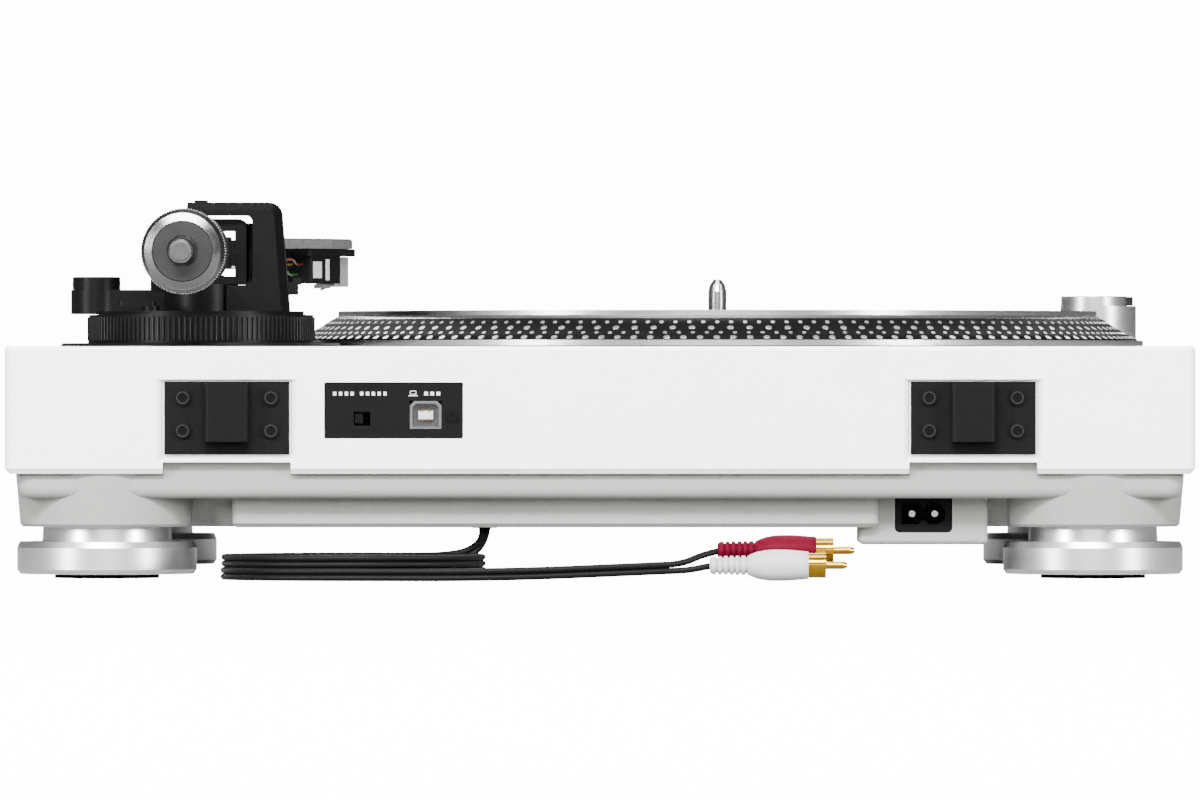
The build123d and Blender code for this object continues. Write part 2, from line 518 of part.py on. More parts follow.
def plug(start):
    """A boot with a ribbed relief, and the contacts, both from the cord's end at start."""
    place = Pos(*start) * Rot(0, -90, 0)
    boot = turned([(0, 0), (2.9, 0), (3.4, 1.2), (3.6, 14), (5.2, 17.5), (5.8, 22), (5.8, 33), (5.2, 37),
                   (0, 37)])
    shell = turned([(4.1, 37), (4.7, 37), (4.7, 43.5), (4.1, 43.5)])
    pin = turned([(0, 37), (1.45, 37), (1.45, 50), (0.8, 51.5), (0, 51.5)])
    return place * boot, place * shell, place * pin


def audio_cord():
    PARTS["cord_gland"] = chamfer(bottom_edges(disc(GLAND_X, GLAND_Y, 19.0, 25.5, 5.3)), 0.8)
    PARTS["audio_cord_lead"] = cord_tube("audio_cord_lead", LEAD_ROUTE, CORD_D)
    outer = Pos(COIL_X, COIL_Y, 0) * extrude(Ellipse(COIL_A, COIL_B), COIL_H)
    hole = Ellipse(COIL_A - COIL_WIDE, COIL_B - COIL_WIDE)
    inner = Pos(COIL_X, COIL_Y, -1) * extrude(hole, COIL_H + 2)
    PARTS["audio_cord_coil"] = outer - inner
    PARTS["audio_cord_run"] = cord_tube("audio_cord_run", RUN_ROUTE, CORD_D)
    PARTS["audio_lead_white"] = cord_tube("audio_lead_white", WHITE_ROUTE, STRAND_D)
    PARTS["audio_lead_red"] = cord_tube("audio_lead_red", RED_ROUTE, STRAND_D)
    contacts = []
    for name, route in (("white", WHITE_ROUTE), ("red", RED_ROUTE)):
        boot, shell, pin = plug(route[-1])
        PARTS[f"{name}_plug_boot"] = boot
        contacts += [shell, pin]
    PARTS["plug_contacts"] = Compound(children=contacts)


for make in (upper_cabinet, lower_base, hinge_brackets, connectors, feet, circuit_boards, platter,
             motor, strobe_tower, controls, arm_base, gimbal_arch, arm_rest_and_clamp, arm_controls,
             gimbal_ring, tonearm, balance, audio_cord):
    make()

os.makedirs("parts", exist_ok=True)
for node, shape in PARTS.items():
    export_step(shape, f"parts/{node}.step")
print(len(PARTS), "parts")
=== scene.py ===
from math import atan2, cos, pi, radians, sin

import bmesh
import bpy
from mathutils import Matrix, Vector


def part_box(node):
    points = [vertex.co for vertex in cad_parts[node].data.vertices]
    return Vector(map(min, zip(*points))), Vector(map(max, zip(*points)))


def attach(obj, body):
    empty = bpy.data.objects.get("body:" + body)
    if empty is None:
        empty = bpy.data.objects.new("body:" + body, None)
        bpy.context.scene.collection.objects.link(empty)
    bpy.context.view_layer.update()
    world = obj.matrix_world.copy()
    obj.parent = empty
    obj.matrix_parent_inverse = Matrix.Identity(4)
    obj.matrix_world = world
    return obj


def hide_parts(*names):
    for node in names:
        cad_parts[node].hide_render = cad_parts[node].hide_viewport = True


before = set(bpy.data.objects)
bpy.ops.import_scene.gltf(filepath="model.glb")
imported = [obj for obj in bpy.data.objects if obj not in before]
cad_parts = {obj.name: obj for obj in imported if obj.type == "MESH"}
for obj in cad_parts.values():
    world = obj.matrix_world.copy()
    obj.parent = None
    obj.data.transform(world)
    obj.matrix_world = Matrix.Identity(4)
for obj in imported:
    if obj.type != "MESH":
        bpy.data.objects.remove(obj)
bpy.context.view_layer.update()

MM = 0.001

# Places that follow from the frame
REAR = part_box("upper_cabinet")[1][1]
PLATTER_LOW, PLATTER_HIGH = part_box("platter")
PLATTER = Vector(((PLATTER_LOW[0] + PLATTER_HIGH[0]) / 2, (PLATTER_LOW[1] + PLATTER_HIGH[1]) / 2, 0))
RING_LOW, RING_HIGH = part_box("height_ring")
PIVOT = Vector(((RING_LOW[0] + RING_HIGH[0]) / 2, (RING_LOW[1] + RING_HIGH[1]) / 2, 124 * MM))
ARM_PARK = radians(3.2)
SHELL_TURN = radians(-29.2)
SHELL_START = (187.7, -5.9)

# Camera, in metres, with the shift as a share of the frame's width
CAMERA_BACK, CAMERA_HIGH = 5.3, 77.9 * MM
SENSOR, LENS, LENS_SHIFT = 36, 421, -0.0225

# Strengths of the room, the backdrop and the floor as the camera sees it
ROOM_LIGHT, BACKDROP_LIGHT, FLOOR_GLOW = 0.22, 14.0, 14.0
FLOOR_HALF, FLOOR_DROP = 30.0, 0.0002

# Lamps: place, aim and size in metres, and power in watts
LAMPS = {
    "key": ((0.4, 3.0, 2.2), (0, 0.1, 0.08), (2.4, 0.6), 490),
    "low": ((0.0, 3.6, 0.5), (0, 0, 0.07), (2.2, 0.35), 20),
    "side_right": ((2.0, 1.7, 0.7), (0.15, 0.1, 0.06), (0.3, 0.9), 125),
    "side_left": ((-2.0, 1.7, 0.7), (-0.15, 0.1, 0.06), (0.3, 0.9), 125),
    "front": ((0, -2.2, 1.5), (0, 0, 0.08), (1.6, 0.8), 60),
    "top": ((0, 0.2, 2.2), (0, 0, 0), (1.4, 1.0), 50),
}


# ---------------------------------------------------------------- camera, light, floor


def camera():
    """A long lens level with the deck, square to the connector side."""
    data = bpy.data.cameras.new("camera")
    data.sensor_width, data.lens = SENSOR, LENS
    data.shift_y = LENS_SHIFT
    data.clip_end = 100
    eye = bpy.data.objects.new("camera", data)
    eye.location = (0, REAR + CAMERA_BACK, CAMERA_HIGH)
    eye.rotation_euler = (pi / 2, 0, pi)
    bpy.context.scene.collection.objects.link(eye)
    bpy.context.scene.camera = eye


def area_light(name, place, aim, size, power):
    data = bpy.data.lights.new(name, "AREA")
    data.shape, data.size, data.size_y, data.energy = "RECTANGLE", size[0], size[1], power
    lamp = bpy.data.objects.new(name, data)
    lamp.location = place
    lamp.rotation_euler = (Vector(aim) - Vector(place)).to_track_quat("-Z", "Y").to_euler()
    bpy.context.scene.collection.objects.link(lamp)


def sky():
    """White to the camera, and a dim room to everything that it lights."""
    world = bpy.data.worlds.new("studio")
    bpy.context.scene.world = world
    world.use_nodes = True
    tree = world.node_tree
    room = tree.nodes["Background"]
    room.inputs["Color"].default_value = (0.95, 0.97, 1, 1)
    room.inputs["Strength"].default_value = ROOM_LIGHT
    white = tree.nodes.new("ShaderNodeBackground")
    white.inputs["Color"].default_value = (1, 1, 1, 1)
    white.inputs["Strength"].default_value = BACKDROP_LIGHT
    path = tree.nodes.new("ShaderNodeLightPath")
    mix = tree.nodes.new("ShaderNodeMixShader")
    link(tree, path.outputs["Is Camera Ray"], mix.inputs["Fac"])
    link(tree, room.outputs["Background"], mix.inputs[1])
    link(tree, white.outputs["Background"], mix.inputs[2])
    link(tree, mix.outputs["Shader"], tree.nodes["World Output"].inputs["Surface"])


def pale_floor():
    """A matte floor that the camera sees as bright as the backdrop, with the object's soft shadow on it."""
    pale = finish("floor", (0.22, 0.22, 0.22), 0.9, grain=3, tone=0.01)
    tree = pale.node_tree
    glow = tree.nodes.new("ShaderNodeEmission")
    glow.inputs["Strength"].default_value = FLOOR_GLOW
    path = tree.nodes.new("ShaderNodeLightPath")
    both = tree.nodes.new("ShaderNodeAddShader")
    mix = tree.nodes.new("ShaderNodeMixShader")
    matte = tree.nodes["Principled BSDF"].outputs["BSDF"]
    link(tree, matte, both.inputs[0])
    link(tree, glow.outputs["Emission"], both.inputs[1])
    link(tree, path.outputs["Is Camera Ray"], mix.inputs["Fac"])
    link(tree, matte, mix.inputs[1])
    link(tree, both.outputs["Shader"], mix.inputs[2])
    link(tree, mix.outputs["Shader"], tree.nodes["Material Output"].inputs["Surface"])
    return pale


def studio():
    """Plain soft light and a pale floor that runs on under the camera and far behind."""
    sky()
    for name, (place, aim, size, power) in LAMPS.items():
        area_light(name, place, aim, size, power)
    mesh = bpy.data.meshes.new("floor")
    half = FLOOR_HALF
    mesh.from_pydata([(-half, -half, 0), (half, -half, 0), (half, half, 0), (-half, half, 0)], [],
                     [(0, 1, 2, 3)])
    floor = bpy.data.objects.new("floor", mesh)
    bpy.context.scene.collection.objects.link(floor)
    floor.location.z = -FLOOR_DROP
    floor.data.materials.append(pale_floor())


# ---------------------------------------------------------------- materials


def link(tree, a, b):
    tree.links.new(a, b)


def noise(tree, scale, stretch=(1, 1, 1), detail=4):
    """A noise value over the object's own place, in metres, stretched along the axes."""
    place = tree.nodes.new("ShaderNodeTexCoord")
    fit = tree.nodes.new("ShaderNodeMapping")
    fit.inputs["Scale"].default_value = stretch
    grain = tree.nodes.new("ShaderNodeTexNoise")
    grain.inputs["Scale"].default_value = scale
    grain.inputs["Detail"].default_value = detail
    link(tree, place.outputs["Object"], fit.inputs["Vector"])
    link(tree, fit.outputs["Vector"], grain.inputs["Vector"])
    return grain.outputs["Fac"]


def spread(tree, value, low, high):
    """A noise value brought between low and high."""
    fit = tree.nodes.new("ShaderNodeMapRange")
    fit.inputs["From Min"].default_value, fit.inputs["From Max"].default_value = 0.3, 0.7
    fit.inputs["To Min"].default_value, fit.inputs["To Max"].default_value = low, high
    link(tree, value, fit.inputs["Value"])
    return fit.outputs["Result"]


def between(tree, value, dark, light):
    """A colour between two, by a value from 0 to 1."""
    mix = tree.nodes.new("ShaderNodeMix")
    mix.data_type = "RGBA"
    mix.inputs["A"].default_value = (*dark, 1)
    mix.inputs["B"].default_value = (*light, 1)
    link(tree, value, mix.inputs["Factor"])
    return mix.outputs["Result"]


def finish(name, color, rough, metal=0.0, grain=600, stretch=(1, 1, 1), tone=0.06, bump=0.0, coat=0.0,
           rough_range=0.06, specular=0.5):
    """A finish with grain in its colour, its roughness and its relief."""
    made = bpy.data.materials.new(name)
    made.use_nodes = True
    tree = made.node_tree
    shader = tree.nodes["Principled BSDF"]
    shader.inputs["Metallic"].default_value = metal
    shader.inputs["Coat Weight"].default_value = coat
    shader.inputs["Coat Roughness"].default_value = 0.12
    shader.inputs["Specular IOR Level"].default_value = specular
    value = noise(tree, grain, stretch)
    dark = [c * (1 - tone) for c in color]
    light = [min(1, c * (1 + tone)) for c in color]
    link(tree, between(tree, spread(tree, value, 0, 1), dark, light), shader.inputs["Base Color"])
    half = rough_range / 2
    link(tree, spread(tree, value, rough - half, rough + half), shader.inputs["Roughness"])
    if bump:
        relief = tree.nodes.new("ShaderNodeBump")
        relief.inputs["Strength"].default_value = 0.5
        relief.inputs["Distance"].default_value = bump * MM
        link(tree, value, relief.inputs["Height"])
        link(tree, relief.outputs["Normal"], shader.inputs["Normal"])
    return made


# ---------------------------------------------------------------- mesh helpers


def piece(name, mesh, body, material, smooth=True):
    """A mesh as a piece that rides on a body."""
    made = bpy.data.objects.new(name, mesh)
    bpy.context.scene.collection.objects.link(made)
    mesh.materials.clear()
    mesh.materials.append(material)
    for face in mesh.polygons:
        face.use_smooth = smooth
    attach(made, body)
    return made


def lathe(name, profile, steps=96):
    """A mesh of revolution about Z from (radius, height) points in mm."""
    shape = bmesh.new()
    turns = [2 * pi * i / steps for i in range(steps)]
    rings = [[shape.verts.new((r * cos(a) * MM, r * sin(a) * MM, z * MM)) for a in turns] for r, z in profile]
    for low, high in zip(rings, rings[1:]):
        for i in range(steps):
            j = (i + 1) % steps
            shape.faces.new((low[i], low[j], high[j], high[i]))
    bmesh.ops.remove_doubles(shape, verts=shape.verts, dist=1e-7)
    bmesh.ops.recalc_face_normals(shape, faces=shape.faces)
    mesh = bpy.data.meshes.new(name)
    shape.to_mesh(mesh)
    shape.free()
    return mesh


def bars(name, boxes, body, material, place=Matrix.Identity(4)):
    """Many small boxes (x0, x1, y0, y1, z0, z1), in mm, as one piece."""
    shape = bmesh.new()
    for x0, x1, y0, y1, z0, z1 in boxes:
        size = Matrix.Diagonal((x1 - x0, y1 - y0, z1 - z0, 1))
        middle = Matrix.Translation(((x0 + x1) / 2, (y0 + y1) / 2, (z0 + z1) / 2))
        bmesh.ops.create_cube(shape, size=1, matrix=place @ Matrix.Scale(MM, 4) @ middle @ size)
    mesh = bpy.data.meshes.new(name)
    shape.to_mesh(mesh)
    shape.free()
    piece(name, mesh, body, material, smooth=False)


def arm_place(x=0.0, y=0.0, z=0.0):
    """The parked arm's frame: x forward along the arm, y outward, in mm."""
    turn = Matrix.Rotation(-pi / 2 - ARM_PARK, 4, "Z")
    return Matrix.Translation(PIVOT) @ turn @ Matrix.Translation(Vector((x, y, z)) * MM)


def shell_place(x=0.0, y=0.0, z=0.0):
    """The head shell's frame: x forward along the shell, in mm."""
    return (arm_place(*SHELL_START) @ Matrix.Rotation(SHELL_TURN, 4, "Z")
            @ Matrix.Translation(Vector((x, y, z)) * MM))


# ---------------------------------------------------------------- audio cord

STRAND = 2.45
CORD_EXIT = (43.8, 142.5, 20.5)
TURNS_FROM, TURNS_TO = radians(-118), radians(90 + 3 * 360)
COIL = Vector((92.0, 187.5))
COIL_A, COIL_B = 51.3, 44.2
POINTS_A_TURN = 16
LEAD = [CORD_EXIT, (43.8, 142.5, 16.0), (46.4, 143.2, 11.6), (51.7, 144.6, 8.7), (59.0, 146.6, 7.7)]
RUN = [(72.0, 230.4, 2.45), (55.0, 231.2, 2.45), (25.0, 229.6, 2.9), (-4.0, 227.0, 4.1), (-22.0, 225.0, 4.85)]
ENDS = {
    "white": [(-28.0, 224.2, 3.88), (-32.5, 224.6, 4.1), (-37.0, 225.2, 4.9), (-42.5, 226.1, 6.0)],
    "red": [(-28.0, 224.2, 6.33), (-33.0, 222.4, 7.4), (-38.5, 218.6, 9.9), (-45.5, 215.5, 11.45)],
}
BOOT_START = {"white": (-41.0, 226.0, 6.0), "red": (-44.0, 215.6, 11.4)}


def coil_points(rise):
    """The turns: in along the upper layer, down, and out again along the lower layer."""
    count = int((TURNS_TO - TURNS_FROM) / (2 * pi) * POINTS_A_TURN)
    points = []
    for i in range(count + 1):
        share = i / count
        turn = TURNS_FROM + (TURNS_TO - TURNS_FROM) * share
        inward = 5.4 * (1 - abs(2 * share - 1))
        drop = min(1, max(0, (share - 0.44) / 0.12))
        loose = 0.35 * sin(3 * turn) + 0.25 * sin(5 * turn + 1)
        z = 7.4 - 4.9 * drop * drop * (3 - 2 * drop)
        points.append((COIL.x + (COIL_A - inward + loose) * cos(turn),
                       COIL.y + (COIL_B - inward + loose) * sin(turn), z + rise))
    return points


def strand(name, rise, color):
    """One strand of the twin cord, from the gland through the coil to its plug."""
    route = []
    for x, y, z in LEAD:
        lying = min(1, max(0, (CORD_EXIT[2] - z) / 9))
        route.append((x + rise * (1 - lying), y, z + rise * lying))
    route += coil_points(rise) + [(x, y, z + rise) for x, y, z in RUN] + ENDS[name]
    data = bpy.data.curves.new(f"audio_lead_{name}", "CURVE")
    data.dimensions = "3D"
    line = data.splines.new("NURBS")
    line.points.add(len(route) - 1)
    for point, place in zip(line.points, route):
        point.co = (*[c * MM for c in place], 1)
    line.use_endpoint_u = True
    line.order_u = 3
    line.resolution_u = 8
    data.bevel_depth = STRAND / 2 * MM
    data.bevel_resolution = 4
    data.use_fill_caps = True
    made = bpy.data.objects.new(f"cord_{name}", data)
    bpy.context.scene.collection.objects.link(made)
    data.materials.append(color)
    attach(made, "deck")
    return made


def boot(name, color):
    """A plug's boot: a ribbed relief that swells into a body with a grip ring."""
    profile = [(0, 0), (2.4, 0), (3.0, 0.5)]
    for i in range(6):
        z, r = 1.0 + i * 2.2, 3.3 + 0.05 * i
        profile += [(r, z), (r + 0.1, z + 0.3), (r, z + 1.35), (r - 0.6, z + 1.5), (r - 0.6, z + 2.0)]
    profile += [(3.6, 14.3), (4.3, 15.8), (5.1, 18.0), (5.65, 21.0), (5.85, 23.5), (5.85, 28.0), (5.65, 31.5),
                (5.35, 34.5), (5.2, 36.8), (4.8, 37), (0, 37)]
    mesh = lathe(f"boot_{name}", profile, 48)
    start = Vector(BOOT_START[name]) * MM
    mesh.transform(Matrix.Translation(start) @ Matrix.Rotation(-pi / 2, 4, "Y"))
    made = piece(f"plug_boot_{name}", mesh, "deck", color)
    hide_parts(f"{name}_plug_boot")
    return made


def audio_cord():
    rubber = finish("cord_rubber", (0.003, 0.003, 0.003), 0.5, grain=900, tone=0.25, bump=0.02, specular=0.08)
    white = finish("boot_white", (0.36, 0.365, 0.37), 0.5, grain=1500, tone=0.05, bump=0.02)
    red = finish("boot_red", (0.062, 0.0003, 0.007), 0.5, grain=1500, tone=0.10, bump=0.02, specular=0.04)
    solids = {"white": ("audio_cord_coil", "audio_cord_run", "audio_lead_white"),
              "red": ("audio_cord_lead", "audio_lead_red")}
    for name, rise, color in (("white", -STRAND / 2 + 0.02, white), ("red", STRAND / 2 - 0.02, red)):
        made = strand(name, rise, rubber)
        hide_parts(*solids[name])
        cap = boot(name, color)


# ---------------------------------------------------------------- CAD nodes

def dress(node, material):
    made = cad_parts[node]
    made.data.materials.clear()
    made.data.materials.append(material)
    for face in made.data.polygons:
        face.material_index = 0


def cad_finishes():
    cabinet = finish("cabinet_gloss", (0.885, 0.885, 0.845), 0.26, grain=35, tone=0.012, coat=0.4)
    base = finish("base_moulded", (0.21, 0.21, 0.202), 0.66, grain=1400, tone=0.05, bump=0.05, specular=0.3)
    black = finish("black_moulded", (0.003, 0.003, 0.0031), 0.5, grain=1800, tone=0.25, bump=0.03,
                   specular=0.05)
    turned = finish("aluminium_turned", (0.50, 0.50, 0.50), 0.24, 1.0, grain=90, stretch=(0.2, 0.2, 40),
                    tone=0.02, bump=0.001, rough_range=0.03)
    foot_metal = finish("foot_turned", (0.74, 0.74, 0.74), 0.30, 1.0, grain=90, stretch=(0.2, 0.2, 40),
                        tone=0.015, rough_range=0.03)
    usb_metal = finish("usb_metal", (0.16, 0.16, 0.165), 0.30, 1.0, grain=400, tone=0.08)
    steel = finish("steel_polished", (0.40, 0.40, 0.41), 0.22, 1.0, grain=300, stretch=(0.5, 0.5, 10),
                   tone=0.05)
    arm_black = finish("arm_satin_black", (0.0022, 0.0022, 0.0024), 0.38, grain=1500, tone=0.25, bump=0.01,
                       specular=0.07)
    screw = finish("screw_black", (0.0025, 0.0025, 0.0025), 0.42, grain=900, tone=0.2, specular=0.06)
    satin = finish("satin_silver", (0.5, 0.5, 0.5), 0.32, 1.0, grain=300, stretch=(0.3, 0.3, 12), tone=0.03)
    silver = finish("arm_silver", (0.62, 0.62, 0.63), 0.3, 1.0, grain=400, stretch=(1, 1, 6), tone=0.05)
    rubber = finish("rubber_mat", (0.006, 0.006, 0.0064), 0.75, grain=900, tone=0.2, bump=0.05, specular=0.1)
    gold = finish("gold_contacts", (0.35, 0.20, 0.015), 0.2, 1.0, grain=600, tone=0.08)
    lens = finish("lens_red", (0.35, 0.006, 0.006), 0.10, grain=300, tone=0.1, coat=1.0)
    board = finish("board_green", (0.015, 0.08, 0.035), 0.5, grain=250, tone=0.25)
    motor = finish("motor_iron", (0.3, 0.14, 0.06), 0.45, 0.8, grain=900, stretch=(1, 1, 6), tone=0.3)
    button = finish("button_satin", (0.5, 0.5, 0.5), 0.35, grain=900, tone=0.04, bump=0.01)
    stylus = finish("stylus_grey", (0.14, 0.14, 0.143), 0.40, grain=900, tone=0.05)
    usb_white = finish("usb_insert", (0.40, 0.40, 0.38), 0.5, grain=900, tone=0.04)
    dark_metal = finish("weight_dark", (0.028, 0.028, 0.03), 0.34, 0.85, grain=160, stretch=(30, 1, 30),
                        tone=0.2)
    finishes = {
        cabinet: ["upper_cabinet"], base: ["lower_base"],
        black: ["io_panel", "power_inlet", "hinge_bracket_right", "hinge_bracket_left", "pitch_panel",
                "cord_gland",
                "pitch_knob", "line_switch_knob", "cartridge"],
        turned: ["platter", "ep_adapter"], usb_metal: ["usb_shell"],
        foot_metal: ["foot_front_left", "foot_front_right", "foot_back_left", "foot_back_right"],
        steel: ["spindle", "inlet_pins", "headshell_nut", "arm_tube", "stylus_lamp", "motor_plate"],
        arm_black: ["arm_base_plate", "arm_base_housing", "height_ring", "gimbal_arch", "gimbal_ring",
                    "arm_rest",
                    "arm_clamp", "height_lock_lever", "cue_lever", "anti_skate_dial", "force_dial",
                    "rotor_magnet"],
        silver: ["headshell"], screw: ["rear_screws"], satin: ["strobe_tower", "power_dial"],
        rubber: ["platter_mat", "lift_platform"], gold: ["plug_contacts"],
        lens: ["strobe_lens"], board: ["circuit_boards"], motor: ["motor_stator"],
        button: ["start_stop_button", "speed_33_button", "speed_45_button", "tempo_reset_button"],
        stylus: ["stylus"], usb_white: ["usb_insert"], dark_metal: ["counterweight"],
    }
    for material, nodes in finishes.items():
        for node in nodes:
            dress(node, material)


# ---------------------------------------------------------------- drive details

PLATTER_CONE = [(147.9, 100.0), (150.3, 98.6), (153.6, 96.2), (157.2, 94.1), (160.3, 92.4), (163.9, 90.5)]
DOT_ROWS = [(152.3, 181, 0.9), (155.6, 134, 1.38), (158.9, 188, 0.9), (162.2, 161, 1.38)]
DOT_HIGH = 0.28


def cone_height(r):
    """The height and the slope of the platter's stepped side at a radius, in mm."""
    for (r0, z0), (r1, z1) in zip(PLATTER_CONE, PLATTER_CONE[1:]):
        if r0 <= r <= r1:
            return z0 + (z1 - z0) * (r - r0) / (r1 - r0), atan2(z1 - z0, r1 - r0)
    return PLATTER_CONE[-1][1], 0.0


def dot(shape, place, r, thick, steps=14):
    """A low domed dot, with its base on the place's XY plane."""
    rim = [shape.verts.new(place @ Vector((r * cos(2 * pi * i / steps), r * sin(2 * pi * i / steps), 0)))
           for i in range(steps)]
    lip = [shape.verts.new(place @ Vector((r * 0.86 * cos(2 * pi * i / steps),
                                           r * 0.86 * sin(2 * pi * i / steps),
                                           thick))) for i in range(steps)]
    for i in range(steps):
        j = (i + 1) % steps
        shape.faces.new((rim[i], rim[j], lip[j], lip[i]))
    shape.faces.new(lip)


def strobe_dots(metal):
    """Four rows of raised dots round the platter's side, each row with its own count."""
    shape = bmesh.new()
    for r, count, dot_r in DOT_ROWS:
        z, slope = cone_height(r)
        for i in range(count):
            turn = Matrix.Rotation(2 * pi * i / count, 4, "Z")
            place = (Matrix.Translation(PLATTER) @ turn @ Matrix.Translation(Vector((r, 0, z)) * MM)
                     @ Matrix.Rotation(-slope, 4, "Y"))
            dot(shape, place, dot_r * MM, DOT_HIGH * MM)
    mesh = bpy.data.meshes.new("strobe_dots")
    shape.to_mesh(mesh)
    shape.free()
    made = piece("strobe_dots", mesh, "platter", metal, smooth=False)


def strobe_band(black):
    """The painted band behind the dots."""
    profile = [(147.95, 98.6), (150.4, 98.75), (153.7, 96.35), (157.3, 94.25), (160.4, 92.55), (163.8, 90.75),
               (163.7, 90.6)]
    mesh = lathe("strobe_band", profile, 180)
    mesh.transform(Matrix.Translation(PLATTER))
    made = piece("strobe_band", mesh, "platter", black)


RIBS = 130


def ring_ribs(black):
    """The upright ribs round the height ring, each with rounded edges."""
    shape = bmesh.new()
    low, high = RING_LOW[2] + 0.9 * MM, RING_HIGH[2] - 0.9 * MM
    r0, r1 = 42.9 * MM, 43.75 * MM
    for i in range(RIBS):
        turn = Matrix.Translation((PIVOT.x, PIVOT.y, 0)) @ Matrix.Rotation(2 * pi * i / RIBS, 4, "Z")
        outline = [(r0, -0.62 * MM), (r1 - 0.15 * MM, -0.42 * MM), (r1, -0.2 * MM), (r1, 0.2 * MM),
                   (r1 - 0.15 * MM, 0.42 * MM), (r0, 0.62 * MM)]
        rows = [[shape.verts.new(turn @ Vector((x, y, z))) for x, y in outline] for z in (low, high)]
        for a, b in zip(range(5), range(1, 6)):
            shape.faces.new((rows[0][a], rows[0][b], rows[1][b], rows[1][a]))
        shape.faces.new(rows[0][::-1])
        shape.faces.new(rows[1])
    mesh = bpy.data.meshes.new("ring_ribs")
    shape.to_mesh(mesh)
    shape.free()
    made = piece("height_ring_ribs", mesh, "height_ring", black, smooth=False)


def knurl(name, body, place, r, x0, x1, count, material):
    """Fine teeth round a turned part, from x0 to x1 along the arm."""
    shape = bmesh.new()
    for i in range(count):
        turn = place @ Matrix.Rotation(2 * pi * i / count, 4, "X")
        wide = 2 * pi * r / count * 0.62 / 2
        outline = [(-wide, r - 0.2), (-wide * 0.4, r + 0.4), (wide * 0.4, r + 0.4), (wide, r - 0.2)]
        rows = [[shape.verts.new(turn @ (Vector((x, y, z)) * MM)) for y, z in outline] for x in (x0, x1)]
        for a, b in zip(range(3), range(1, 4)):
            shape.faces.new((rows[0][a], rows[1][a], rows[1][b], rows[0][b]))
        shape.faces.new(rows[0])
        shape.faces.new(rows[1][::-1])
    mesh = bpy.data.meshes.new(name)
    shape.to_mesh(mesh)
    shape.free()
    made = piece(name, mesh, body, material, smooth=False)


MAT_RINGS, MAT_INNER_R, MAT_PITCH = 38, 22, 3.1
MAT_LOW, MAT_HIGH = 101.48, 101.72


def mat_grooves(rubber):
    """Fine rings moulded into the platter mat."""
    profile = []
    for i in range(MAT_RINGS):
        r = MAT_INNER_R + MAT_PITCH * i
        profile += [(r, MAT_LOW), (r + 0.4, MAT_HIGH), (r + 1.5, MAT_HIGH), (r + 1.9, MAT_LOW)]
    mesh = lathe("mat_grooves", profile, 120)
    mesh.transform(Matrix.Translation(PLATTER))
    piece("mat_grooves", mesh, "platter", rubber)


SEGMENTS = {"0": "abcdef", "1": "bc", "2": "abged", "3": "abgcd", "4": "fgbc", "5": "afgcd", "6": "afgedc",
            "8": "abcdefg"}


def digits(text, x, y, high, z):
    """Plain numerals made of strokes, flat on a deck at height z, with their middle at x, y."""
    wide, line, boxes = high * 0.5, high * 0.14, []
    left = x - (len(text) * wide * 1.5 - wide * 0.5) / 2
    for i, letter in enumerate(text):
        x0 = left + i * wide * 1.5
        x1, low, mid, top = x0 + wide, y - high / 2, y, y + high / 2
        strokes = {"a": (x0, x1, top - line, top), "d": (x0, x1, low, low + line),
                   "g": (x0, x1, mid - line / 2, mid + line / 2), "f": (x0, x0 + line, mid, top),
                   "b": (x1 - line, x1, mid, top), "e": (x0, x0 + line, low, mid), "c": (x1 - line, x1, low,
                                                                                         mid)}
        boxes += [(*strokes[part], z - 0.05, z + 0.06) for part in SEGMENTS[letter]]
    return boxes


PITCH_PLACE = (195.0, -95.0, 87.8)
PITCH_STEP = 5.6


def deck_marks(light, dark):
    """The pitch scale, and the marks of the start and speed buttons."""
    x, y, z = PITCH_PLACE
    scale = []
    for step in range(-8, 9):
        long = 3.4 if step % 2 == 0 else 2.0
        place = y + step * PITCH_STEP
        scale += [(x - 7 - long, x - 7, place - 0.15, place + 0.15, z, z + 0.08)]
        if step % 4 == 0:
            scale += digits(str(abs(step)), x + 9.5, place, 3.2, z)
    bars("pitch_scale", scale, "deck", light)
    for name, text, place in (("speed_33", "33", -165.0), ("speed_45", "45", -143.0)):
        bars(f"{name}_numerals", digits(text, place, -158.0, 4.2, 90.0), name, dark)
    stop = [(-197.0, -196.4, -158, -146, 90.95, 91.06), (-193.6, -193.0, -158, -146, 90.95, 91.06)]
    bars("start_stop_marks", stop, "start_stop", dark)


MARK_LOW, MARK_HIGH = 69.4, 70.8


def rear_marks(light, gold):
    """Plain marks over the switch and the USB socket, and the socket's contacts."""
    y0, y1 = REAR / MM - 0.65, REAR / MM - 0.5
    signs = [(x, x + 1.2, y0, y1, MARK_LOW, MARK_HIGH) for x in (80.6, 82.8, 85.0, 87.2, 89.4)]
    signs += [(x, x + 1.2, y0, y1, MARK_LOW, MARK_HIGH) for x in (93.0, 95.2, 97.4, 99.6)]
    signs += [(x, x + 1.4, y0, y1, MARK_LOW, MARK_HIGH) for x in (60.4, 62.7, 65.0)]
    signs += [(69.4, 71.8, y0, y1, 71.0, 71.2), (69.4, 69.6, y0, y1, 69.8, 71.2),
              (71.6, 71.8, y0, y1, 69.8, 71.2),
              (69.4, 71.8, y0, y1, 69.8, 70.0), (68.9, 72.3, y0, y1, 69.2, 69.5)]
    bars("panel_marks", signs, "deck", light)
    end = REAR / MM - 2.95
    contacts = [(x - 0.5, x + 0.5, end - 1, end + 0.05, z, z + 0.7) for x in (64.6, 67.1) for z in (60.0,
                                                                                                    63.3)]
    bars("usb_contacts", contacts, "deck", gold)


HINGE_X, SCREW_SIDE, SCREW_HEIGHTS = 141.0, 16.65, (56.1, 68.6)


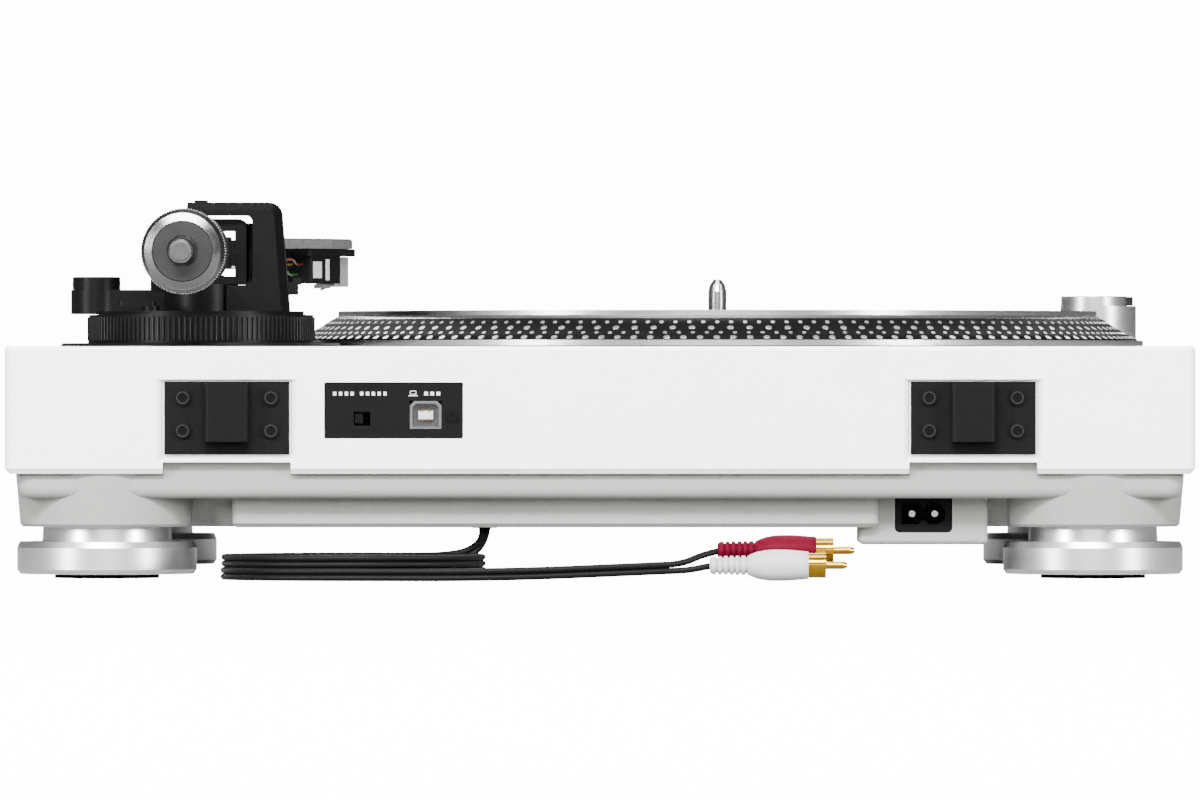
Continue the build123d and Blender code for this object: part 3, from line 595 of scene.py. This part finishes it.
def screw_rings(metal):
    """The edge that catches the light round each hinge bracket screw."""
    for side in (-1, 1):
        for dx in (-SCREW_SIDE, SCREW_SIDE):
            for z in SCREW_HEIGHTS:
                place = Matrix.Translation(Vector((side * HINGE_X + dx, REAR / MM + 0.8, z)) * MM)
                half = "right" if side > 0 else "left"
                edge = "out" if dx * side > 0 else "in"
                name = f"screw_ring_{half}_{edge}_{round(z)}"
                mesh = lathe(name, [(1.95, -0.1), (2.0, 0.06), (2.3, 0.06), (2.35, -0.1)], 32)
                mesh.transform(place @ Matrix.Rotation(-pi / 2, 4, "X"))
                piece(name, mesh, "deck", metal, smooth=False)


FOOT_ENDS = (("front", -142.0), ("back", 136.0))
FOOT_SIDES = (("left", -187.5), ("right", 187.5))


def foot_pads(rubber):
    """The dark rubber pad under each foot."""
    for fb, y in FOOT_ENDS:
        for lr, x in FOOT_SIDES:
            mesh = lathe(f"pad_{fb}_{lr}", [(17.0, 0.02), (19.9, 0.02), (19.9, 1.58), (17.0, 1.58)], 64)
            mesh.transform(Matrix.Translation(Vector((x, y, 0)) * MM))
            piece(f"foot_pad_{fb}_{lr}", mesh, f"foot_{fb}_{lr}", rubber)


def drive_details():
    bright = finish("dot_metal", (0.46, 0.46, 0.46), 0.34, 1.0, grain=900, tone=0.03)
    paint = finish("band_black", (0.0025, 0.0025, 0.0025), 0.6, grain=900, tone=0.2, specular=0.03)
    rubber = finish("pad_rubber", (0.006, 0.006, 0.006), 0.7, grain=900, tone=0.25, bump=0.03, specular=0.1)
    light = finish("print_white", (0.5, 0.5, 0.49), 0.5, grain=2500, tone=0.06)
    dark = finish("print_dark", (0.02, 0.02, 0.02), 0.5, grain=2500, tone=0.2)
    gold = finish("contact_gold", (0.35, 0.20, 0.015), 0.25, 1.0, grain=900, tone=0.08)
    strobe_band(paint)
    strobe_dots(bright)
    mat_grooves(rubber)
    foot_pads(rubber)
    deck_marks(light, dark)
    rear_marks(light, gold)
    screw_rings(finish("screw_edge", (0.014, 0.014, 0.014), 0.4, 0.5, grain=900, tone=0.2))
    tab = [(-211.7, -209.0, -104.9, -101.1, 104.65, 108.15)]
    bars("power_dial_tab", tab, "power_dial", rubber)


BORE_END, WEIGHT_TRAVEL = 83.0, 3.0
SLEEVE_START = BORE_END + WEIGHT_TRAVEL + 0.4  # clear of the counterweight when it is wound right back


def weight_face():
    """The counterweight's bright bevel and dark centre, and the brushed end of the shaft."""
    bevel = finish("bevel_metal", (0.16, 0.16, 0.163), 0.2, 1.0, grain=260, stretch=(0.3, 8, 0.3), tone=0.05)
    centre = finish("weight_centre", (0.005, 0.005, 0.0052), 0.42, 0.3, grain=200, stretch=(0.3, 8, 0.3),
                    tone=0.2)
    stub = finish("shaft_end", (0.09, 0.09, 0.09), 0.36, 1.0, grain=500, stretch=(6, 1, 1), tone=0.15)
    back = arm_place() @ Matrix.Rotation(-pi / 2, 4, "Y")
    shapes = {
        "weight_bevel": ([(14.6, 84.3), (14.5, 84.6), (11.6, 85.45), (11.4, 85.3)], bevel, "counterweight"),
        "weight_centre": ([(11.5, 85.1), (11.2, 85.35), (6.0, 85.35), (5.9, 84.4), (5.0, 84.2), (4.9, 83.2)],
                          centre, "counterweight"),
        "shaft_end": ([(4.5, SLEEVE_START), (4.5, 93.9), (4.1, 94.4), (3.4, 94.5), (0.0, 94.5)], stub,
                      "tonearm"),
    }
    for name, (profile, material, body) in shapes.items():
        mesh = lathe(name, profile, 96)
        mesh.transform(back)
        piece(name, mesh, body, material, smooth=False)


def wire(name, route, r, material):
    """A thin lead through the points, in the head shell's frame."""
    data = bpy.data.curves.new(name, "CURVE")
    data.dimensions = "3D"
    line = data.splines.new("NURBS")
    line.points.add(len(route) - 1)
    for point, place in zip(line.points, route):
        point.co = (*(shell_place(*place).translation), 1)
    line.use_endpoint_u = True
    line.order_u = 3
    line.resolution_u = 6
    data.bevel_depth, data.bevel_resolution, data.use_fill_caps = r * MM, 3, True
    made = bpy.data.objects.new(name, data)
    bpy.context.scene.collection.objects.link(made)
    data.materials.append(material)
    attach(made, "tonearm")


def cartridge_details():
    """Four coloured leads behind the cartridge, and its pale side windows."""
    colors = {"red": (0.045, 0.0015, 0.001), "green": (0.002, 0.03, 0.003), "yellow": (0.08, 0.045, 0.002),
              "blue": (0.002, 0.006, 0.04)}
    for (name, color), y, z in zip(colors.items(), (-3.6, -1.2, 1.2, 3.6), (-2.5, -6.5, -2.5, -6.5)):
        material = finish(f"lead_{name}", color, 0.45, grain=900, tone=0.15)
        route = [(9.5, y, -1.5), (13.0, y * 1.4, -1.0), (18.0, y * 1.7, z + 2), (23.0, y * 1.2, z - 1),
                 (28.5, y, z)]
        wire(f"shell_lead_{name}", route, 0.45, material)
    pale = finish("window_pale", (0.3, 0.3, 0.3), 0.4, grain=900, tone=0.06)
    windows = [(29.5, 35.5, side * 7.9 - 0.15, side * 7.9 + 0.15, -8.2, -1.6) for side in (-1, 1)]
    windows += [(38.5, 41, side * 7.9 - 0.15, side * 7.9 + 0.15, -9.0, -0.6) for side in (-1, 1)]
    bars("cartridge_windows", windows, "tonearm", pale, shell_place())


def arm_details():
    # Painted light: the ribs (and the pivot cover) get a lighter, shinier black than the ring body, so the
    # rib tops read as lit against the shaded gaps
    black = finish("black_with_painted_light", (0.003, 0.003, 0.0032), 0.36, grain=1200, tone=0.2, bump=0.01, specular=0.12)
    ring_ribs(black)
    teeth = finish("knurl_metal", (0.4, 0.4, 0.4), 0.25, 1.0, grain=900, tone=0.1)
    knurl("weight_knurl", "counterweight", arm_place(), 15.9, -82.0, -75.6, 96, teeth)
    weight_face()
    cover = [(-7.65, 7.65, -11.15, 11.15, -6.15, 6.15), (-4.0, 4.0, -13.2, 13.2, -5.0, 5.0)]
    bars("pivot_cover", cover, "tonearm", black, arm_place())
    cartridge_details()


camera()
audio_cord()
studio()
cad_finishes()
drive_details()
arm_details()
